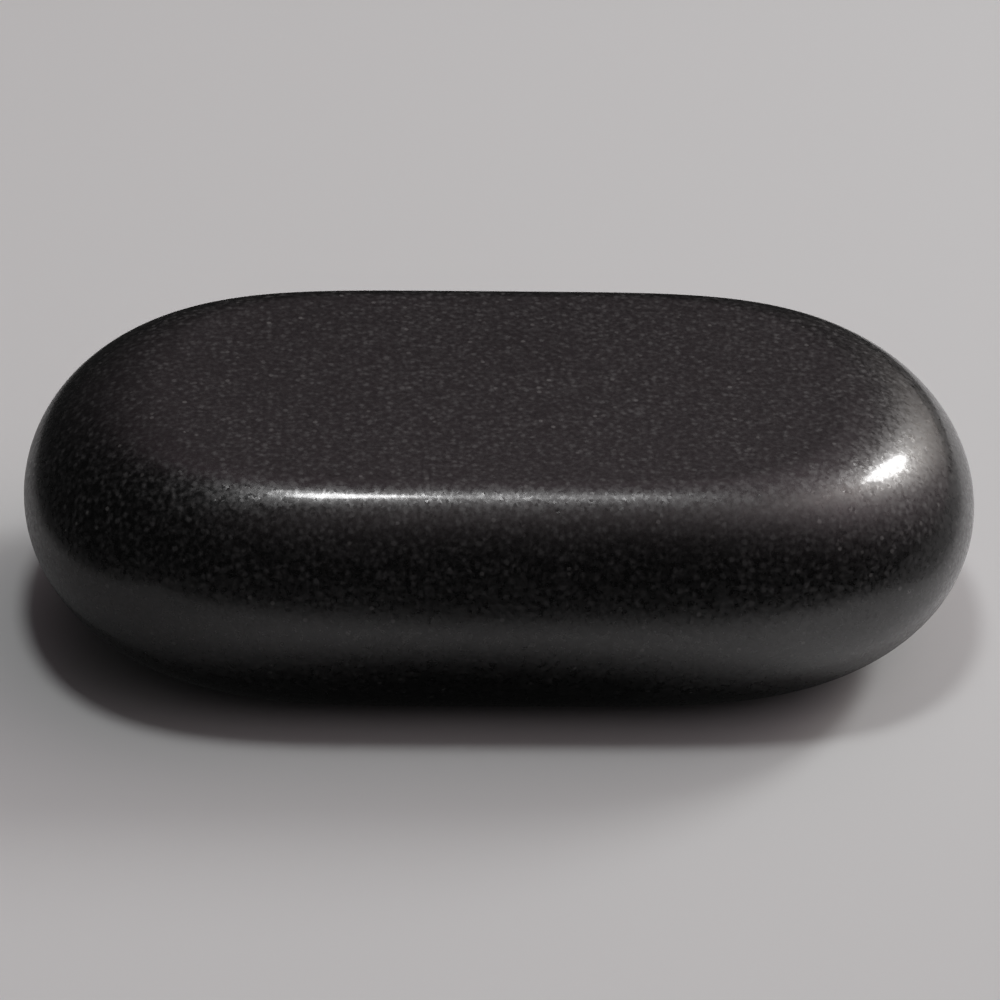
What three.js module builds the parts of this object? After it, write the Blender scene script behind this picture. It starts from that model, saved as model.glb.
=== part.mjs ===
// Basalt massage stone: one solid bar of dark basalt, ground to a rounded oblong and polished.
// Millimetres, +X along the stone, +Y across it, +Z up. The origin is the middle of the flat
// face that the stone rests on.
import * as THREE from "three";

// Driving dimensions
const LENGTH = 100;
const WIDTH = 50;
const GIRTH_HEIGHT = 15.3; // the widest outline, above the resting face
const SHOULDER_RISE = 13.2; // from the girth to the edge of the upper face
const CROWN = 0.5; // further rise of the upper face, at its middle
const LOWER_ROUNDING = 0.42; // share of the half width that the edge below the girth takes
const UPPER_ROUNDING = 0.3; // share of the half width that the edge above the girth takes
const END_FULLNESS = 4.8; // power in the outline: straight sides and full, round ends

// Fineness of the facets
const AROUND = 96;
const LOWER_STEPS = 11;
const UPPER_STEPS = 11;
const FACE_STEPS = 4;

const basalt = new THREE.MeshStandardMaterial({
  name: "basalt",
  color: new THREE.Color(0.034, 0.031, 0.031),
  roughness: 0.4,
  metalness: 0,
});

// Half of the stone's section, as Vector2(share of the half width, height): from the middle of
// the resting face, round the edge below the girth, round the edge above it, and over the crown.
function sectionProfile() {
  const points = [new THREE.Vector2(0, 0)];
  const restEdge = 1 - LOWER_ROUNDING;
  const faceEdge = 1 - UPPER_ROUNDING;
  const quarter = Math.PI / 2;

  for (let i = 0; i < LOWER_STEPS; i++) {
    const turn = (quarter * i) / LOWER_STEPS;
    const share = restEdge + LOWER_ROUNDING * Math.sin(turn);
    points.push(new THREE.Vector2(share, GIRTH_HEIGHT * (1 - Math.cos(turn))));
  }
  for (let i = 0; i <= UPPER_STEPS; i++) {
    const turn = (quarter * i) / UPPER_STEPS;
    const share = faceEdge + UPPER_ROUNDING * Math.cos(turn);
    points.push(new THREE.Vector2(share, upperHeight(share, Math.sin(turn))));
  }
  for (let i = FACE_STEPS - 1; i >= 0; i--) {
    const share = (faceEdge * i) / FACE_STEPS;
    points.push(new THREE.Vector2(share, upperHeight(share, 1)));
  }
  return points;
}

// Height above the resting face where the upper edge has risen by riseShare of its full rise.
function upperHeight(share, riseShare) {
  return GIRTH_HEIGHT + SHOULDER_RISE * riseShare + CROWN * (1 - share * share);
}

// Stretches a round blank of radius 1 to the outline |2x / LENGTH|^END_FULLNESS + (2y / WIDTH)^2 = 1.
function stretchToOutline(blank) {
  const position = blank.attributes.position;
  for (let i = 0; i < position.count; i++) {
    const radius = Math.hypot(position.getX(i), position.getY(i));
    if (radius === 0) continue;
    const along = THREE.MathUtils.clamp(position.getX(i) / radius, -1, 1);
    const across = Math.sqrt(1 - Math.abs(along) ** END_FULLNESS) * Math.sign(position.getY(i));
    position.setX(i, (LENGTH / 2) * radius * along);
    position.setY(i, (WIDTH / 2) * radius * across);
  }
}

function makeStone() {
  const geometry = new THREE.LatheGeometry(sectionProfile(), AROUND);
  geometry.rotateX(Math.PI / 2); // the lathe's axis is +Y, and the stone's is +Z
  stretchToOutline(geometry);
  geometry.computeVertexNormals();

  const mesh = new THREE.Mesh(geometry, basalt);
  mesh.name = "basalt_stone";
  return mesh;
}

const massageStone = new THREE.Group();
massageStone.name = "massage_stone";
massageStone.add(makeStone());

export default massageStone;
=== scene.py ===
"""Basalt massage stone: one polished bar of dark basalt on a plain pale floor.

Metres, in the frame of the CAD model: +X along the stone, +Z up, and the origin in the middle of
the face that it rests on.
"""
import math

import bmesh
import bpy
import numpy as np
from mathutils import Matrix, Vector


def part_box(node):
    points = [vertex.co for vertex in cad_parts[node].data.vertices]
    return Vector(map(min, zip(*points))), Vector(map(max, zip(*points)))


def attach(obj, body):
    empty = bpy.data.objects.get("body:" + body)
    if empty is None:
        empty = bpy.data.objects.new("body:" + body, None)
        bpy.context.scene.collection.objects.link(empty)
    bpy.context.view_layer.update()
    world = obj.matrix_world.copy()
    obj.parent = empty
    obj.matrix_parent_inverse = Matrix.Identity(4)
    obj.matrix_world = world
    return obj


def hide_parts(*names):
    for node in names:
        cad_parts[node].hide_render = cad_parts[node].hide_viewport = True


MM = 0.001

# ---- the frame ----------------------------------------------------------------------------------
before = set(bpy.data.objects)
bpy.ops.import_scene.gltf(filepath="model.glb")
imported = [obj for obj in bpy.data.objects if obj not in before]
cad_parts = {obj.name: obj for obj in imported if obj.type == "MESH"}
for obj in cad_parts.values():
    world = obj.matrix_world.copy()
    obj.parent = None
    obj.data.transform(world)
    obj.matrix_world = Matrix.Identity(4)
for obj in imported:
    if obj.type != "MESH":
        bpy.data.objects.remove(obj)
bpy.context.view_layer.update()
STONE_LOW, STONE_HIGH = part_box("basalt_stone")
HALF_LENGTH = (STONE_HIGH.x - STONE_LOW.x) / 2
HALF_WIDTH = (STONE_HIGH.y - STONE_LOW.y) / 2
HEIGHT = STONE_HIGH.z - STONE_LOW.z
CENTRE = (STONE_LOW + STONE_HIGH) / 2

# The stone's shape, as shares of its size. The CAD model's heights are on a stone 29 mm high.
GIRTH_HEIGHT = HEIGHT * 15.3 / 29  # the widest outline, above the resting face
CROWN = HEIGHT * 0.5 / 29  # rise of the upper face from its edge to its middle
SHOULDER_RISE = HEIGHT - GIRTH_HEIGHT - CROWN
LOWER_ROUNDING = 0.42  # share of the outline that the edge below the girth takes
UPPER_ROUNDING = 0.3
END_FULLNESS = 4.8  # power in the outline: straight sides and full, round ends

# ---- camera and studio: dimensions --------------------------------------------------------------
CAMERA_TURN = math.radians(-4.2)  # the studio's Y axis, turned from the stone's
CAMERA_ELEVATION = math.radians(34)
CAMERA_DISTANCE = 0.6
CAMERA_ROLL = math.radians(2.7)
CAMERA_LENS = 205.0  # mm
SENSOR_WIDTH = 36.0  # mm

# As seen from the stone, a light or glow lies toward (degrees to the right of the studio's +Y,
# degrees up). spans are its width and height in degrees, and lean tips its top to the right.
LIGHT_DISTANCE = 0.6
LIGHTS = {
    "key_light": {"toward": (212, 84.3), "spans": (9, 10), "lean": 0, "radiance": 30},
    "key_left": {"toward": (-75, 84), "spans": (6, 8), "lean": 0, "radiance": 6},
    "key_right": {"toward": (130, 85), "spans": (13, 8), "lean": 0, "radiance": 1.5},
    "side_light": {"toward": (54.5, 36), "spans": (9, 21), "lean": 35, "radiance": 19},
}
GLOWS = {  # toward, spans, lean, radiance, colour
    "side_halo": ((80, 43), (150, 46), -39, 0.56, (1.2, 1.0, 1.05)),
    "side_core": ((54, 35), (18, 62), 36, 2.4, (1.06, 1.0, 0.92)),
    "side_top": ((48, 58), (28, 90), 83, 0.34, (1.26, 1.0, 1.09)),
    "back_glow": ((-23, 64), (22, 50), 19, 0.17, (1.36, 1.0, 1.14)),
    "face_glow": ((15, 36), (16, 26), 0, 0.08, (1.2, 1.0, 1.05)),
    "front_glow": ((150, 62), (30, 40), 0, 0.12, (1.1, 1.0, 1.0)),
}
DUSK = 0.014  # radiance of the dark studio away from the glows

PAPER = (0.69, 0.71, 0.71)
PAPER_ROUGHNESS = 0.9
FLOOR_REACH = 3.0  # from the middle of the floor to its edge
SHADE_REACH = 2.5
SHADE_HEIGHT = 0.5 * MM  # above the floor

# The pool of lit floor that the stone reflects, in mm in the studio's axes; outside it the shade
# sheet paints shade over the reflected floor. At each edge it fades out from the first value to the
# second.
POOL_FRONT = (-39, -62)
POOL_BACK = (42, 75)
POOL_LEFT = (-72, -104)
POOL_RIGHT = (58, 95)
PAST_RIGHT = 0.2  # share of the light that is left past the right edge

# Half of each of these edges slants, by this slope: the front edge comes forward to the left, the
# back edge goes back to the right, and the right edge goes out behind.
FRONT_SLANT = 0.45
BACK_SLANT = 0.6
RIGHT_SLANT = 0.45

# The pool's brightness rises from left to right in two steps; where it is under 1, the sheet paints
# partial shade over the reflected floor.
POOL_DIM = 0.42
POOL_MIDDLE = 0.82
POOL_BRIGHT = 1.34  # over 1, so that the fading edges start further out
LEFT_STEP = (-50, -5)  # where it rises from dim to middle
RIGHT_STEP = (28, 54)  # where it rises from middle to bright

# The ellipse round the stone's foot where the sheet paints a shadow into the stone's reflection of
# the floor. It leans towards the camera on the left.
FOOT_TURN = math.radians(16)
FOOT_RADII = (47, 32.5)  # mm
FOOT_EDGE = (0.85, 1.28)  # from full painted shadow to none, as shares of the radii
FOOT_PAINTED_SHADOW = 0.4 * DUSK  # radiance of the painted shadow under the stone
FOOT_PAINTED_SHADOW_EDGE = (0.6, 1.2)  # where it rises to DUSK


def in_studio(x, y, z):
    """Turns a point from the studio's axes, where +Y is the way the camera looks, to the stone's."""
    return Matrix.Rotation(CAMERA_TURN, 3, "Z") @ Vector((x, y, z))


def direction(toward):
    azimuth, elevation = [math.radians(angle) for angle in toward]
    level = math.cos(elevation)
    return in_studio(level * math.sin(azimuth), level * math.cos(azimuth), math.sin(elevation))


def link(name, data):
    made = bpy.data.objects.new(name, data)
    bpy.context.scene.collection.objects.link(made)
    return made


# ---- shader nodes -------------------------------------------------------------------------------
def node(tree, kind, sockets=None, **settings):
    """Adds a node, with its settings and its sockets' values or links."""
    made = tree.nodes.new("ShaderNode" + kind)
    for name, value in settings.items():
        setattr(made, name, value)
    for name, value in (sockets or {}).items():
        if isinstance(value, bpy.types.NodeSocket):
            tree.links.new(value, made.inputs[name])
        else:
            made.inputs[name].default_value = value
    return made


def calculate(tree, operation, first, second=0.0):
    return node(tree, "Math", {0: first, 1: second}, operation=operation).outputs[0]


def product(tree, values):
    total = values[0]
    for value in values[1:]:
        total = calculate(tree, "MULTIPLY", total, value)
    return total


def product_sum(tree, pairs):
    """The sum of the products of pairs of values."""
    total = 0.0
    for first, second in pairs:
        total = calculate(tree, "ADD", total, calculate(tree, "MULTIPLY", first, second))
    return total


def remap(tree, value, low, high, out_low, out_high, smooth=False):
    """Takes value from the range low..high to out_low..out_high, and holds it there."""
    sockets = {"Value": value, "From Min": low, "From Max": high}
    sockets.update({"To Min": out_low, "To Max": out_high})
    kind = "SMOOTHSTEP" if smooth else "LINEAR"
    return node(tree, "MapRange", sockets, interpolation_type=kind).outputs["Result"]


def plain_material(name, color, roughness):
    material = bpy.data.materials.new(name)
    material.use_nodes = True
    shader = material.node_tree.nodes["Principled BSDF"]
    shader.inputs["Base Color"].default_value = (*color, 1)
    shader.inputs["Roughness"].default_value = roughness
    shader.inputs["Specular IOR Level"].default_value = 0.2
    return material


# ---- camera and studio --------------------------------------------------------------------------
def aim(thing, target, roll=0.0):
    """Turns a camera or light so that its -Z points at target, then rolls it about that line."""
    turn = (target - thing.location).to_track_quat("-Z", "Y").to_matrix()
    thing.rotation_euler = (turn @ Matrix.Rotation(roll, 3, "Z")).to_euler()


def make_camera():
    data = bpy.data.cameras.new("camera")
    data.lens = CAMERA_LENS
    data.sensor_width = SENSOR_WIDTH
    camera = link("camera", data)
    back = -CAMERA_DISTANCE * math.cos(CAMERA_ELEVATION)
    up = CAMERA_DISTANCE * math.sin(CAMERA_ELEVATION)
    camera.location = CENTRE + in_studio(0, back, up)
    aim(camera, CENTRE, CAMERA_ROLL)
    bpy.context.scene.camera = camera


def make_light(name, toward, spans, lean, radiance):
    """A flat oval light that the camera doesn't see, with its power worked out from its radiance."""
    data = bpy.data.lights.new(name, "AREA")
    data.shape = "ELLIPSE"
    width, height = [2 * LIGHT_DISTANCE * math.tan(math.radians(span / 2)) for span in spans]
    data.size, data.size_y = width, height
    data.energy = radiance * math.pi * (math.pi / 4 * width * height)
    light = link(name, data)
    light.location = CENTRE + LIGHT_DISTANCE * direction(toward)
    aim(light, CENTRE, math.radians(lean))
    light.visible_camera = False


def glow_strength(tree, ray, toward, spans, lean):
    """A soft lobe of light, 1 at its middle: a bell that is down to 1/e at the edges of its spans,
    times the cosine of the angle from the middle."""
    middle = direction(toward)
    right = middle.cross(Vector((0, 0, 1))).normalized()
    right.rotate(Matrix.Rotation(math.radians(lean), 3, middle))
    above = right.cross(middle)
    facing = node(tree, "VectorMath", {0: ray, 1: middle}, operation="DOT_PRODUCT").outputs["Value"]
    asides = []
    for axis, span in ((right, spans[0]), (above, spans[1])):
        reach = math.sin(math.radians(span / 2))
        aside = node(tree, "VectorMath", {0: ray, 1: axis / reach}, operation="DOT_PRODUCT")
        asides.append(aside.outputs["Value"])
    fall = product_sum(tree, [(aside, aside) for aside in asides])
    lobe = calculate(tree, "EXPONENT", calculate(tree, "MULTIPLY", fall, -1.0))
    return product(tree, [lobe, calculate(tree, "MAXIMUM", facing, 0.0)])


def make_world():
    """A dim studio with broad soft glows in it."""
    world = bpy.data.worlds.new("studio")
    world.use_nodes = True
    tree = world.node_tree
    ray = node(tree, "TexCoord").outputs["Generated"]
    total = tree.nodes["Background"]
    total.inputs["Color"].default_value = (DUSK, DUSK, DUSK, 1)
    for toward, spans, lean, radiance, color in GLOWS.values():
        strength = product(tree, [glow_strength(tree, ray, toward, spans, lean), radiance])
        glow = node(tree, "Background", {"Color": (*color, 1), "Strength": strength})
        total = node(tree, "AddShader", {0: total.outputs[0], 1: glow.outputs[0]})
    tree.links.new(total.outputs[0], tree.nodes["World Output"].inputs["Surface"])
    bpy.context.scene.world = world


def square_sheet(name, half_side, height):
    mesh = bpy.data.meshes.new(name)
    corners = [(-half_side, -half_side), (half_side, -half_side)]
    corners += [(half_side, half_side), (-half_side, half_side)]
    mesh.from_pydata([(x, y, 0) for x, y in corners], [], [(0, 1, 2, 3)])
    sheet = link(name, mesh)
    sheet.location.z = height
    sheet.rotation_euler.z = CAMERA_TURN
    return sheet


def make_floor():
    floor = square_sheet("floor", FLOOR_REACH, 0.0)
    floor.data.materials.append(plain_material("floor_paper", PAPER, PAPER_ROUGHNESS))


def foot_distance(tree, x, y):
    """1 on the ellipse round the stone's foot, and in proportion inside and outside it."""
    along = product_sum(tree, ((x, math.cos(FOOT_TURN)), (y, math.sin(FOOT_TURN))))
    across = product_sum(tree, ((x, -math.sin(FOOT_TURN)), (y, math.cos(FOOT_TURN))))
    parts = [calculate(tree, "DIVIDE", along, FOOT_RADII[0])]
    parts.append(calculate(tree, "DIVIDE", across, FOOT_RADII[1]))
    return calculate(tree, "SQRT", product_sum(tree, [(part, part) for part in parts]))


def slanted(tree, value, other, side, slant):
    """value less slant times the other coordinate: only where that one is over 0 if side is
    MAXIMUM, and only where it is under 0 if side is MINIMUM."""
    beyond = calculate(tree, side, other, 0.0)
    return product_sum(tree, ((value, 1), (beyond, -slant)))


def fade(tree, value, edge, before=1.0, after=0.0):
    """Goes smoothly from before, at the edge's first value, to after, at its second."""
    low, high = edge
    if low > high:
        low, high, before, after = high, low, after, before
    return remap(tree, value, low, high, before, after, smooth=True)


def lit_pool(tree, x, y, from_foot):
    """How much of the lit floor the stone sees through the painted shade: a pool that fades on every
    side, brightest to the right, with a painted shadow round the stone's foot. Values over 1 show
    all of it."""
    front = fade(tree, slanted(tree, y, x, "MINIMUM", FRONT_SLANT), POOL_FRONT)
    back = fade(tree, slanted(tree, y, x, "MAXIMUM", BACK_SLANT), POOL_BACK)
    left = fade(tree, x, POOL_LEFT)
    right = fade(tree, slanted(tree, x, y, "MAXIMUM", RIGHT_SLANT), POOL_RIGHT, after=PAST_RIGHT)
    # painted shadow round the stone's foot
    foot = fade(tree, from_foot, FOOT_EDGE, before=0.0, after=1.0)
    first_rise = fade(tree, x, LEFT_STEP, before=POOL_DIM, after=POOL_MIDDLE)
    second_rise = fade(tree, x, RIGHT_STEP, before=0.0, after=POOL_BRIGHT - POOL_MIDDLE)
    brightness = calculate(tree, "ADD", first_rise, second_rise)
    return product(tree, [front, back, left, right, foot, brightness])


def make_painted_shade():
    """A sheet just above the floor that only the stone sees, clear over the lit pool and from below.
    Elsewhere it paints shade into the stone's reflections of the floor: a dark sheet with a faint
    painted glow, darkest in a painted shadow round the stone's foot."""
    material = bpy.data.materials.new("shade")
    material.use_nodes = True
    tree = material.node_tree
    place = node(tree, "TexCoord").outputs["Object"]
    axes = node(tree, "SeparateXYZ", {0: place}).outputs
    x, y = [calculate(tree, "DIVIDE", axes[k], MM) for k in ("X", "Y")]
    from_foot = foot_distance(tree, x, y)
    below = node(tree, "NewGeometry").outputs["Backfacing"]
    clear = calculate(tree, "MAXIMUM", lit_pool(tree, x, y, from_foot), below)
    # painted shade: the sheet's faint dark glow, seen only in the stone's reflections, darkest in
    # the painted shadow round the foot
    painted_shade_radiance = remap(tree, from_foot, *FOOT_PAINTED_SHADOW_EDGE, FOOT_PAINTED_SHADOW, DUSK)
    dark = node(tree, "Emission", {"Strength": painted_shade_radiance})
    open_part = node(tree, "BsdfTransparent")
    mix = node(tree, "MixShader", {"Fac": clear, 1: dark.outputs[0], 2: open_part.outputs[0]})
    tree.links.new(mix.outputs[0], tree.nodes["Material Output"].inputs["Surface"])
    shade = square_sheet("shade", SHADE_REACH, SHADE_HEIGHT)
    shade.data.materials.append(material)
    shade.visible_camera = False
    shade.visible_shadow = False


# ---- the stone's mesh ---------------------------------------------------------------------------
CELLS = 112  # across each face; the sides have four times as many round them
SIDE_ROWS = 50  # below the girth, and again above it
SEAM_GAP = 0.001 * MM  # points closer than this are one point


def outline(turn):
    """The widest outline at an angle: |x / a|^END_FULLNESS + (y / b)^2 = 1."""
    along = np.cos(turn)
    across = np.sqrt(1 - np.abs(along) ** END_FULLNESS) * np.sign(np.sin(turn))
    return HALF_LENGTH * along, HALF_WIDTH * across


def ring_points(share, turn, height):
    x, y = outline(turn)
    return np.stack([share * x, share * y, height * np.ones_like(x)], axis=-1)


def crown_height(share):
    return CROWN * (1 - share**2)


def face_grid(edge_share, height_of):
    """A square grid bent round, so that its border is the outline scaled to edge_share."""
    step = np.arange(-CELLS // 2, CELLS // 2 + 1)
    i, j = np.meshgrid(step, step, indexing="ij")
    ring = np.maximum(np.abs(i), np.abs(j))
    divisor = np.maximum(ring, 1)  # the middle point is a ring of its own, at 0
    by_column = np.abs(i) >= np.abs(j)
    turn = np.where(
        by_column,
        math.pi / 4 * j / divisor * np.sign(i) + np.where(i < 0, math.pi, 0),
        math.pi / 2 * np.sign(j) - math.pi / 4 * i / divisor * np.sign(j),
    )
    share = edge_share * ring / (CELLS // 2)
    return ring_points(share, turn, height_of(share))


def side_grid():
    """Rings from the resting face's edge up to the upper face's edge."""
    around = np.arange(4 * CELLS + 1) * (2 * math.pi / (4 * CELLS)) - math.pi / 4
    quarter = np.arange(SIDE_ROWS + 1) * (math.pi / 2 / SIDE_ROWS)
    low_share = 1 - LOWER_ROUNDING + LOWER_ROUNDING * np.sin(quarter)
    low_height = GIRTH_HEIGHT * (1 - np.cos(quarter))
    high_share = 1 - UPPER_ROUNDING + UPPER_ROUNDING * np.cos(quarter)
    high_height = GIRTH_HEIGHT + SHOULDER_RISE * np.sin(quarter) + crown_height(high_share)
    share = np.concatenate([low_share, high_share[1:]])
    height = np.concatenate([low_height, high_height[1:]])
    turn, share = np.meshgrid(around, share)
    return ring_points(share, turn, height[:, None] * np.ones_like(turn))


def add_grid(mesh, points):
    """Adds a grid of quads. make_stone turns them all to face outwards."""
    rows, columns = points.shape[:2]
    verts = [mesh.verts.new(p) for p in points.reshape(-1, 3)]
    for r in range(rows - 1):
        for c in range(columns - 1):
            corner = r * columns + c
            ring = (corner, corner + 1, corner + columns + 1, corner + columns)
            mesh.faces.new([verts[k] for k in ring])


def make_stone():
    """One closed mesh from three grids: the side, the upper face and the resting face."""
    mesh = bmesh.new()
    top_height = GIRTH_HEIGHT + SHOULDER_RISE
    add_grid(mesh, side_grid())
    add_grid(mesh, face_grid(1 - UPPER_ROUNDING, lambda s: top_height + crown_height(s)))
    add_grid(mesh, face_grid(1 - LOWER_ROUNDING, lambda s: 0 * s))
    bmesh.ops.remove_doubles(mesh, verts=mesh.verts, dist=SEAM_GAP)
    bmesh.ops.recalc_face_normals(mesh, faces=mesh.faces)
    for face in mesh.faces:
        face.smooth = True
    data = bpy.data.meshes.new("polished_stone")
    mesh.to_mesh(data)
    mesh.free()
    stone = link("polished_stone", data)
    stone.data.materials.append(make_basalt())
    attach(stone, "root")
    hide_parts("basalt_stone")


# ---- basalt -------------------------------------------------------------------------------------
# How many to a millimetre
GRAINS = 1.4
MOTTLE = 1.7
PATCHES = 0.07
FLECKS = 0.9
FACETS = 2.8

# How pale the groundmass is at each point: the sum of the grains, the mottle and the patches
GRAIN_EDGE = (0.1, 0.7)  # where a grain fades out, as shares of a cell
GRAIN_STRENGTH = 0.8
MOTTLE_NOISE = (0.33, 0.67)  # noise values that give no mottle and full mottle
MOTTLE_STRENGTH = 0.8
PATCH_NOISE = (0.3, 0.7)
PATCH_STRENGTH = 0.05  # either way
TONE_RANGE = (0.15, 1.2)  # sums that make the darkest and the palest ground
PALE_RARITY = 1.8  # power that keeps most of the ground dark

GROUND_DARK = (0.0014, 0.0015, 0.0015)
GROUND_PALE = (0.033, 0.0333, 0.0336)
FELDSPAR = (0.15, 0.15, 0.147)
FLECK_RADIUS = 0.27  # mm
FLECK_EDGE = (0.55, 1.15)  # where a fleck fades out, as shares of its radius
FLECK_SHARE = 0.12  # of the cells that could hold a fleck
FLECK_STRENGTHS = (0.4, 1.0)  # of the weakest fleck and of the strongest
FLECK_OPACITY = 0.6
POLISH = (0.26, 0.52)  # roughness of the darkest and of the palest grains
FACET_TILT = 0.08  # spread of the slopes that the crystals' facets lie at
GLINT_TILT = 0.22  # the same in the few grains that glint
GLINT_SHARE = 0.03  # of the grains


def noise_value(tree, place, per_mm, detail, roughness=0.5):
    sockets = {"Vector": place, "Scale": per_mm, "Detail": detail, "Roughness": roughness}
    return node(tree, "TexNoise", sockets).outputs["Fac"]


def crystals(tree, place, per_mm):
    """Random cells: the distance from each cell's middle, and its own random colour."""
    cells = node(tree, "TexVoronoi", {"Vector": place, "Scale": per_mm})
    return cells.outputs["Distance"], cells.outputs["Color"]


def feldspar_flecks(tree, place):
    """Scattered round flecks: 0 outside, and up to FLECK_OPACITY inside."""
    distance, random = crystals(tree, place, FLECKS)
    random = node(tree, "SeparateColor", {"Color": random}).outputs
    inner, outer = [FLECK_RADIUS * FLECKS * share for share in FLECK_EDGE]
    spot = remap(tree, distance, inner, outer, 1.0, 0.0, smooth=True)
    chosen = calculate(tree, "LESS_THAN", random["Red"], FLECK_SHARE)
    strength = remap(tree, random["Green"], 0.0, 1.0, *FLECK_STRENGTHS)
    return product(tree, [spot, chosen, strength, FLECK_OPACITY])


def blend_color(tree, amount, first, second):
    """first where amount is 0, second where it is 1."""
    mix = node(tree, "Mix", data_type="RGBA")
    for socket, value in (("Factor", amount), ("A", first), ("B", second)):
        target = next(s for s in mix.inputs if s.name == socket and s.enabled)
        if isinstance(value, bpy.types.NodeSocket):
            tree.links.new(value, target)
        else:
            target.default_value = (*value, 1)
    return next(s for s in mix.outputs if s.enabled)


def tilted_normal(tree, random, amount):
    """The surface's normal, leaned in each facet by that facet's own random colour."""
    lean = node(tree, "VectorMath", {0: random, 1: (0.5, 0.5, 0.5)}, operation="SUBTRACT")
    lean = node(tree, "VectorMath", {0: lean.outputs[0], "Scale": amount}, operation="SCALE")
    normal = node(tree, "NewGeometry").outputs["Normal"]
    total = node(tree, "VectorMath", {0: normal, 1: lean.outputs[0]}, operation="ADD")
    return node(tree, "VectorMath", {0: total.outputs[0]}, operation="NORMALIZE").outputs[0]


def ground_tone(tree, place, distance, brightness):
    """How pale the groundmass is: soft pale grains under a millimetre apart, over a finer mottle,
    in faintly uneven patches."""
    middle = remap(tree, distance, *GRAIN_EDGE, 1.0, 0.0, smooth=True)
    spots = product(tree, [middle, brightness, GRAIN_STRENGTH])
    noise = noise_value(tree, place, MOTTLE, detail=3, roughness=0.6)
    mottle = remap(tree, noise, *MOTTLE_NOISE, 0.0, MOTTLE_STRENGTH)
    noise = noise_value(tree, place, PATCHES, detail=2)
    patches = remap(tree, noise, *PATCH_NOISE, -PATCH_STRENGTH, PATCH_STRENGTH)
    tone = calculate(tree, "ADD", calculate(tree, "ADD", spots, mottle), patches)
    return remap(tree, tone, *TONE_RANGE, 0.0, 1.0)


def make_basalt():
    """Dark basalt under a clear polish, which the coat stands for."""
    material = plain_material("basalt", GROUND_DARK, POLISH[0])
    tree = material.node_tree
    shader = tree.nodes["Principled BSDF"]
    shader.inputs["Specular IOR Level"].default_value = 0.5
    shader.inputs["IOR"].default_value = 1.7
    shader.inputs["Coat Weight"].default_value = 0.6
    shader.inputs["Coat Roughness"].default_value = 0.11

    metres = node(tree, "TexCoord").outputs["Object"]
    to_mm = (1 / MM, 1 / MM, 1 / MM)
    place = node(tree, "Mapping", {"Vector": metres, "Scale": to_mm}).outputs[0]
    distance, random = crystals(tree, place, GRAINS)
    grain = node(tree, "SeparateColor", {"Color": random}).outputs
    tone = ground_tone(tree, place, distance, grain["Red"])

    # Colour: the groundmass, and pale feldspar flecks in it
    paleness = calculate(tree, "POWER", tone, PALE_RARITY)
    ground = blend_color(tree, paleness, GROUND_DARK, GROUND_PALE)
    color = blend_color(tree, feldspar_flecks(tree, place), ground, FELDSPAR)
    tree.links.new(color, shader.inputs["Base Color"])

    # Polish: pale grains take less of it. Each facet lies at its own slight tilt, and in a few
    # grains the facets lean far enough to glint.
    tree.links.new(remap(tree, tone, 0.0, 1.0, *POLISH), shader.inputs["Roughness"])
    _, facing = crystals(tree, place, FACETS)
    glint = calculate(tree, "LESS_THAN", grain["Blue"], GLINT_SHARE)
    tilt = remap(tree, glint, 0.0, 1.0, FACET_TILT, GLINT_TILT)
    tree.links.new(tilted_normal(tree, facing, tilt), shader.inputs["Normal"])
    return material


# ---- the scene ----------------------------------------------------------------------------------
bpy.context.scene.view_settings.view_transform = "Standard"
make_camera()
make_world()
make_floor()
make_painted_shade()
for light_name, light_facts in LIGHTS.items():
    make_light(light_name, **light_facts)
make_stone()
